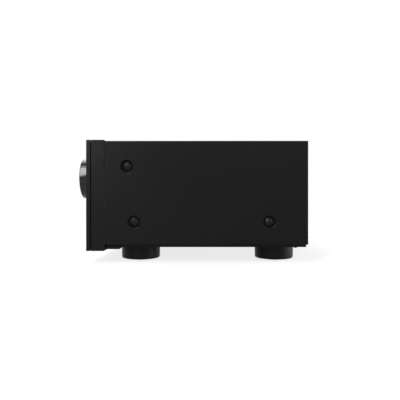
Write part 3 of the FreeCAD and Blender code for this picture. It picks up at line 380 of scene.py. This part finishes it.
MATERIALS = {
    "cover_paint": dimpled("cover_paint", grey(0.0029), grey(0.0038), specular=0.07),
    "chassis_paint": coated("chassis_paint", grey(0.004), grey(0.005), 0.55, specular=0.06),
    "rear_paint": coated("rear_paint", grey(0.010), grey(0.013), 0.45, specular=0.2),
    "bracket_steel": brushed("bracket_steel", grey(0.42), grey(0.62), 0.35),
    "frame_plastic": moulded("frame_plastic", grey(0.0036), grey(0.0046), 0.3, specular=0.075),
    "plate_aluminium": brushed(
        "plate_aluminium", grey(0.003), grey(0.0052), 0.26, metallic=0.0, specular=0.08),
    "knob_black": lathed("knob_black", grey(0.0025), grey(0.0045), 0.075, specular=0.29),
    "button_black": moulded("button_black", grey(0.008), grey(0.011), 0.3, specular=0.2),
    "window_tint": polished("window_tint", grey(0.003), grey(0.005), 0.05, alpha=0.62),
    "display_glass": polished("display_glass", (0.004, 0.008, 0.009), (0.008, 0.014, 0.015), 0.08),
    "lens_red": polished("lens_red", (0.3, 0.01, 0.01), (0.4, 0.02, 0.015), 0.15),
    "board_green": circuit("board_green"),
    "jack_black": moulded("jack_black", grey(0.008), grey(0.013), 0.3),
    "socket_steel": shelled("socket_steel", grey(0.55), grey(0.7), 0.2),
    "gold_plate": plated("gold_plate", (0.66, 0.44, 0.16), (0.85, 0.62, 0.26), 0.18),
    "shaft_steel": brushed("shaft_steel", grey(0.45), grey(0.62), 0.25, along=Y),
    "encoder_metal": brushed("encoder_metal", grey(0.4), grey(0.55), 0.35),
    "core_steel": laminated("core_steel"),
    "winding_copper": wound("winding_copper"),
    "sink_black": brushed("sink_black", grey(0.35), grey(0.5), 0.35, along=Z),
    "package_black": moulded("package_black", grey(0.01), grey(0.014), 0.45),
    "capacitor_sleeve": polished(
        "capacitor_sleeve", (0.008, 0.012, 0.03), (0.012, 0.018, 0.045), 0.3),
    "ribbon_grey": ribbed("ribbon_grey", grey(0.3), grey(0.5), 0.5, 1.27 * MM),
    "terminal_plastic": moulded("terminal_plastic", grey(0.009), grey(0.013), 0.42),
    "cap_red": polished("cap_red", (0.32, 0.006, 0.006), (0.42, 0.012, 0.01), 0.2),
    "cap_black": polished("cap_black", grey(0.008), grey(0.012), 0.2),
    "foot_plastic": moulded("foot_plastic", grey(0.0015), grey(0.0022), 0.36, specular=0.09),
    "pad_rubber": moulded(
        "pad_rubber", grey(0.014), grey(0.022), 0.75, grain=0.9 * MM, depth=0.05 * MM),
    "cover_screw": plated("cover_screw", grey(0.0115), grey(0.0165), 0.4),
    "plain_screw": plated("plain_screw", grey(0.04), grey(0.07), 0.35),
    "inlet_black": moulded("inlet_black", grey(0.01), grey(0.014), 0.4),
    # Finishes of the pieces that this script adds
    "ring_red": moulded("ring_red", (0.34, 0.012, 0.01), (0.42, 0.02, 0.015), 0.35),
    "ring_white": moulded("ring_white", grey(0.62), grey(0.7), 0.35),
    "print_grey": coated("print_grey", grey(0.34), grey(0.42), 0.6),
    "segment_grey": coated("segment_grey", (0.1, 0.13, 0.13), (0.13, 0.16, 0.16), 0.5),
}


def paint_nodes():
    for part in frame["record"]["subparts"]:
        item = frame["nodes"][part["node"]]
        item.data.materials.clear()
        item.data.materials.append(MATERIALS[part["material_slot"]])


# Small pieces and prints that sit on the CAD model's parts

RING_INNER, RING_OUTER, RING_THICK, RING_EDGE = 4.25 * MM, 5.55 * MM, 0.7 * MM, 0.2 * MM
RING_SIDES = 48
JACK_ROWS, JACK_COLUMNS, JACK_RADIUS = 2, 8, 4.15 * MM
PRINT_THICK, PRINT_ROUND, PRINT_WIDTH = 0.04 * MM, 2 * MM, 0.4 * MM
CORNER_STEPS = 8
# How far each printed line stands off the connectors in it
PRINT_MARGINS = {
    "phono_jack_block": 2.5 * MM, "speaker_terminal_base": 9 * MM,
    "hdmi_sockets": 2.5 * MM, "antenna_jack": 2.5 * MM}
DIGITS, DIGIT_MARGIN, DIGIT_WIDTH, DIGIT_HEIGHT = 14, 8 * MM, 5 * MM, 14 * MM
SEGMENT_WIDTH, SEGMENT_GAP = 1 * MM, 0.6 * MM


def add_piece(name, points, faces, material, smooth=False):
    """A mesh that moves with the case."""
    mesh = bpy.data.meshes.new(name)
    mesh.from_pydata(points, [], faces)
    mesh.polygons.foreach_set("use_smooth", [smooth] * len(faces))
    mesh.materials.append(material)
    item = bpy.data.objects.new(name, mesh)
    bpy.context.scene.collection.objects.link(item)
    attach(item, "root")


def spread(low, high, count, margin):
    """Evenly spaced places between two ends, each end moved in by a margin."""
    step = (high - low - 2 * margin) / (count - 1)
    return [low + margin + number * step for number in range(count)]


def closed_faces(rings, count):
    """Faces between rings of so many points, each ring closed, the last one joined to the first."""
    faces = []
    for ring in range(rings):
        here, after = ring * count, (ring + 1) % rings * count
        for spot in range(count):
            following = (spot + 1) % count
            faces.append((here + spot, after + spot, after + following, here + following))
    return faces


def profile_points(centre, angle, profile):
    """Points of a profile of (radius, depth) that is turned by an angle about a line along Y."""
    across, up = centre
    return [(across + radius * math.cos(angle), depth, up + radius * math.sin(angle))
            for radius, depth in profile]


def ring_mesh(centre, profile):
    """Points and faces of a closed profile turned all the way round."""
    points = []
    for side in range(RING_SIDES):
        points += profile_points(centre, math.tau * side / RING_SIDES, profile)
    return points, closed_faces(RING_SIDES, len(profile))


def gathered(meshes):
    """Several lists of points and faces as one."""
    points, faces = [], []
    for some_points, some_faces in meshes:
        start = len(points)
        points += some_points
        faces += [tuple(start + corner for corner in face) for face in some_faces]
    return points, faces


def add_jack_rings():
    """Coloured rings round the phono jacks, one colour to a row."""
    low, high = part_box("phono_jack_sleeves")
    back = low[Y]
    face, edge = back + RING_THICK, back + RING_THICK - RING_EDGE
    profile = [(RING_INNER, back), (RING_INNER, edge), (RING_INNER + RING_EDGE, face),
               (RING_OUTER - RING_EDGE, face), (RING_OUTER, edge), (RING_OUTER, back)]
    rows = spread(low[Z], high[Z], JACK_ROWS, JACK_RADIUS)
    columns = spread(low[X], high[X], JACK_COLUMNS, JACK_RADIUS)
    for up, colour in zip(rows, ("ring_red", "ring_white")):
        points, faces = gathered(ring_mesh((across, up), profile) for across in columns)
        add_piece(f"phono_{colour}", points, faces, MATERIALS[colour], smooth=True)


def frame_mesh(left, right, bottom, top, level):
    """A thin printed line round a rectangle with rounded corners, on a panel that faces +Y."""
    inner, face = PRINT_ROUND - PRINT_WIDTH, level + PRINT_THICK
    profile = [(inner, level), (inner, face), (PRINT_ROUND, face), (PRINT_ROUND, level)]
    left, right = left + PRINT_ROUND, right - PRINT_ROUND
    bottom, top = bottom + PRINT_ROUND, top - PRINT_ROUND
    points = []
    corners = ((right, top, 0), (left, top, 90), (left, bottom, 180), (right, bottom, 270))
    for across, up, start in corners:
        for step in range(CORNER_STEPS + 1):
            angle = math.radians(start + 90 * step / CORNER_STEPS)
            points += profile_points((across, up), angle, profile)
    return points, closed_faces(len(points) // len(profile), len(profile))


def add_rear_prints():
    """Printed lines that group the connectors on the rear panel."""
    level = place("rear_panel", 1, Y)
    meshes = []
    for name, margin in PRINT_MARGINS.items():
        low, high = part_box(name)
        meshes.append(frame_mesh(
            low[X] - margin, high[X] + margin, low[Z] - margin, high[Z] + margin, level))
    points, faces = gathered(meshes)
    add_piece("rear_prints", points, faces, MATERIALS["print_grey"])


def segment_mesh(centre, length, upright, level):
    """One thin bar of a digit, pointed at both ends, on a glass that faces -Y."""
    half, thin = length / 2, SEGMENT_WIDTH / 2
    shape = [(-half, 0), (-half + thin, -thin), (half - thin, -thin),
             (half, 0), (half - thin, thin), (-half + thin, thin)]
    count = len(shape)
    points = []
    for depth in (level - PRINT_THICK, level):
        for along, across in shape:
            offset = (-across, along) if upright else (along, across)
            points.append((centre[0] + offset[0], depth, centre[1] + offset[1]))
    faces = [tuple(range(count)), tuple(reversed(range(count, 2 * count)))]
    for spot in range(count):
        after = (spot + 1) % count
        faces.append((after, spot, spot + count, after + count))
    return points, faces


def add_display_segments():
    """Unlit digit bars in the display, behind the tinted window."""
    low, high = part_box("display_module")
    level = low[Y]
    middle = (low[Z] + high[Z]) / 2
    bar = DIGIT_HEIGHT / 2 - SEGMENT_GAP
    meshes = []
    for across in spread(low[X], high[X], DIGITS, DIGIT_MARGIN):
        for step in (-1, 0, 1):
            spot = (across, middle + step * DIGIT_HEIGHT / 2)
            meshes.append(segment_mesh(spot, DIGIT_WIDTH, False, level))
        for side in (-1, 1):
            beside = across + side * (DIGIT_WIDTH / 2 + SEGMENT_GAP)
            for half in (-1, 1):
                spot = (beside, middle + half * DIGIT_HEIGHT / 4)
                meshes.append(segment_mesh(spot, bar, True, level))
    points, faces = gathered(meshes)
    add_piece("display_segments", points, faces, MATERIALS["segment_grey"])


# Light and surroundings

# How bright the white surroundings are as a light
WORLD_LIGHT = 0.3
# How white the floor is seen near the receiver, where the rest is left for the shadow
FLOOR_WHITE = 0.8
FLOOR_GAP = 0.2 * MM
FLOOR_SPAN = 30
# How far from the middle the floor starts to turn white, and where it is all white
FADE_START, FADE_END = 0.45, 1.6
# A point inside the receiver, nearer to the side in the photograph
SUBJECT = (0.15, -0.05, 0.09)
SOFTBOXES = [
    # name, where it stands, what it points at, width, height, radiance
    ("key_strip", (1.72, -0.755, 1.2), (0.15, -0.15, 0.11), 0.38, 1.9, 19.0),
    ("top_softbox", (0.75, -0.42, 1.85), (0.15, -0.15, 0.11), 0.5, 0.7, 7.0),
    ("side_softbox", (1.9, 0.4, 0.62), (0.2, 0.03, 0.09), 0.5, 0.5, 3.5),
    ("far_softbox", (-0.95, -0.5, 1.75), (0.15, -0.15, 0.14), 1.3, 1.8, 4.2),
    ("front_softbox", (-0.5, -2.1, 0.9), SUBJECT, 1.6, 1.2, 2.6),
    ("low_softbox", (0.25, 1.6, 0.14), (0.2, 0.1, 0.03), 1.7, 0.24, 18.0),
    ("rear_softbox", (1.3, 1.5, 1.1), SUBJECT, 0.9, 0.9, 3.5),
    ("back_softbox", (-0.6, 2.1, 1.1), SUBJECT, 1.4, 1.0, 2.0),
]


def seen_directly(tree):
    """One for what the camera, a reflection or a clear piece sees, zero for light on a surface."""
    path = tree.nodes.new("ShaderNodeLightPath")
    total = path.outputs["Is Camera Ray"]
    for output in ("Is Glossy Ray", "Is Transmission Ray"):
        larger = tree.nodes.new("ShaderNodeMath")
        larger.operation = "MAXIMUM"
        tree.links.new(total, larger.inputs[0])
        tree.links.new(path.outputs[output], larger.inputs[1])
        total = larger.outputs[0]
    return total


def add_floor():
    """Pale floor that fades into the white around it and keeps a soft shadow."""
    paint = Paint("floor", 0.8, specular=0.1)
    paint.colour(paint.noise(400 * MM, detail=3), grey(0.86), grey(0.88))
    paint.bump(paint.noise(3 * MM), 0.05 * MM)
    white = paint.node("ShaderNodeEmission")
    away = paint.node("ShaderNodeVectorMath", operation="LENGTH")
    paint.link(paint.where, away.inputs[0])
    fade = paint.node("ShaderNodeMapRange", interpolation_type="SMOOTHSTEP")
    ends = {"From Min": FADE_START, "From Max": FADE_END, "To Min": FLOOR_WHITE}
    for socket, value in ends.items():
        fade.inputs[socket].default_value = value
    paint.link(away.outputs["Value"], fade.inputs["Value"])
    share = paint.maths("MULTIPLY", seen_directly(paint.tree), fade.outputs["Result"])
    blend = paint.node("ShaderNodeMixShader")
    for source, socket in zip((share, paint.shader.outputs[0], white.outputs[0]), blend.inputs):
        paint.link(source, socket)
    paint.link(blend.outputs[0], paint.tree.nodes["Material Output"].inputs["Surface"])
    half = FLOOR_SPAN / 2
    corners = [(-half, -half, 0), (half, -half, 0), (half, half, 0), (-half, half, 0)]
    mesh = bpy.data.meshes.new("floor")
    mesh.from_pydata(corners, [], [(0, 1, 2, 3)])
    mesh.materials.append(paint.material)
    item = bpy.data.objects.new("floor", mesh)
    item.location = (0, 0, -FLOOR_GAP)
    bpy.context.scene.collection.objects.link(item)


def add_world():
    """White to the camera and to reflections, softer as a light."""
    world = bpy.data.worlds.new("world")
    world.use_nodes = True
    tree = world.node_tree
    background = tree.nodes["Background"]
    blend = tree.nodes.new("ShaderNodeMapRange")
    blend.inputs["To Min"].default_value = WORLD_LIGHT
    blend.inputs["To Max"].default_value = 1.0
    tree.links.new(seen_directly(tree), blend.inputs["Value"])
    tree.links.new(blend.outputs["Result"], background.inputs["Strength"])
    background.inputs["Color"].default_value = (1, 1, 1, 1)
    bpy.context.scene.world = world


def add_softboxes():
    for name, spot, target, width, height, radiance in SOFTBOXES:
        data = bpy.data.lights.new(name, "AREA")
        data.shape = "RECTANGLE"
        data.size, data.size_y = width, height
        data.energy = radiance * math.pi * width * height
        item = bpy.data.objects.new(name, data)
        item.location = spot
        item.rotation_mode = "QUATERNION"
        item.rotation_quaternion = (Vector(target) - Vector(spot)).to_track_quat("-Z", "Y")
        bpy.context.scene.collection.objects.link(item)


bpy.context.scene.view_settings.view_transform = "Standard"
add_camera()
paint_nodes()
add_jack_rings()
add_rear_prints()
add_display_segments()
add_floor()
add_world()
add_softboxes()
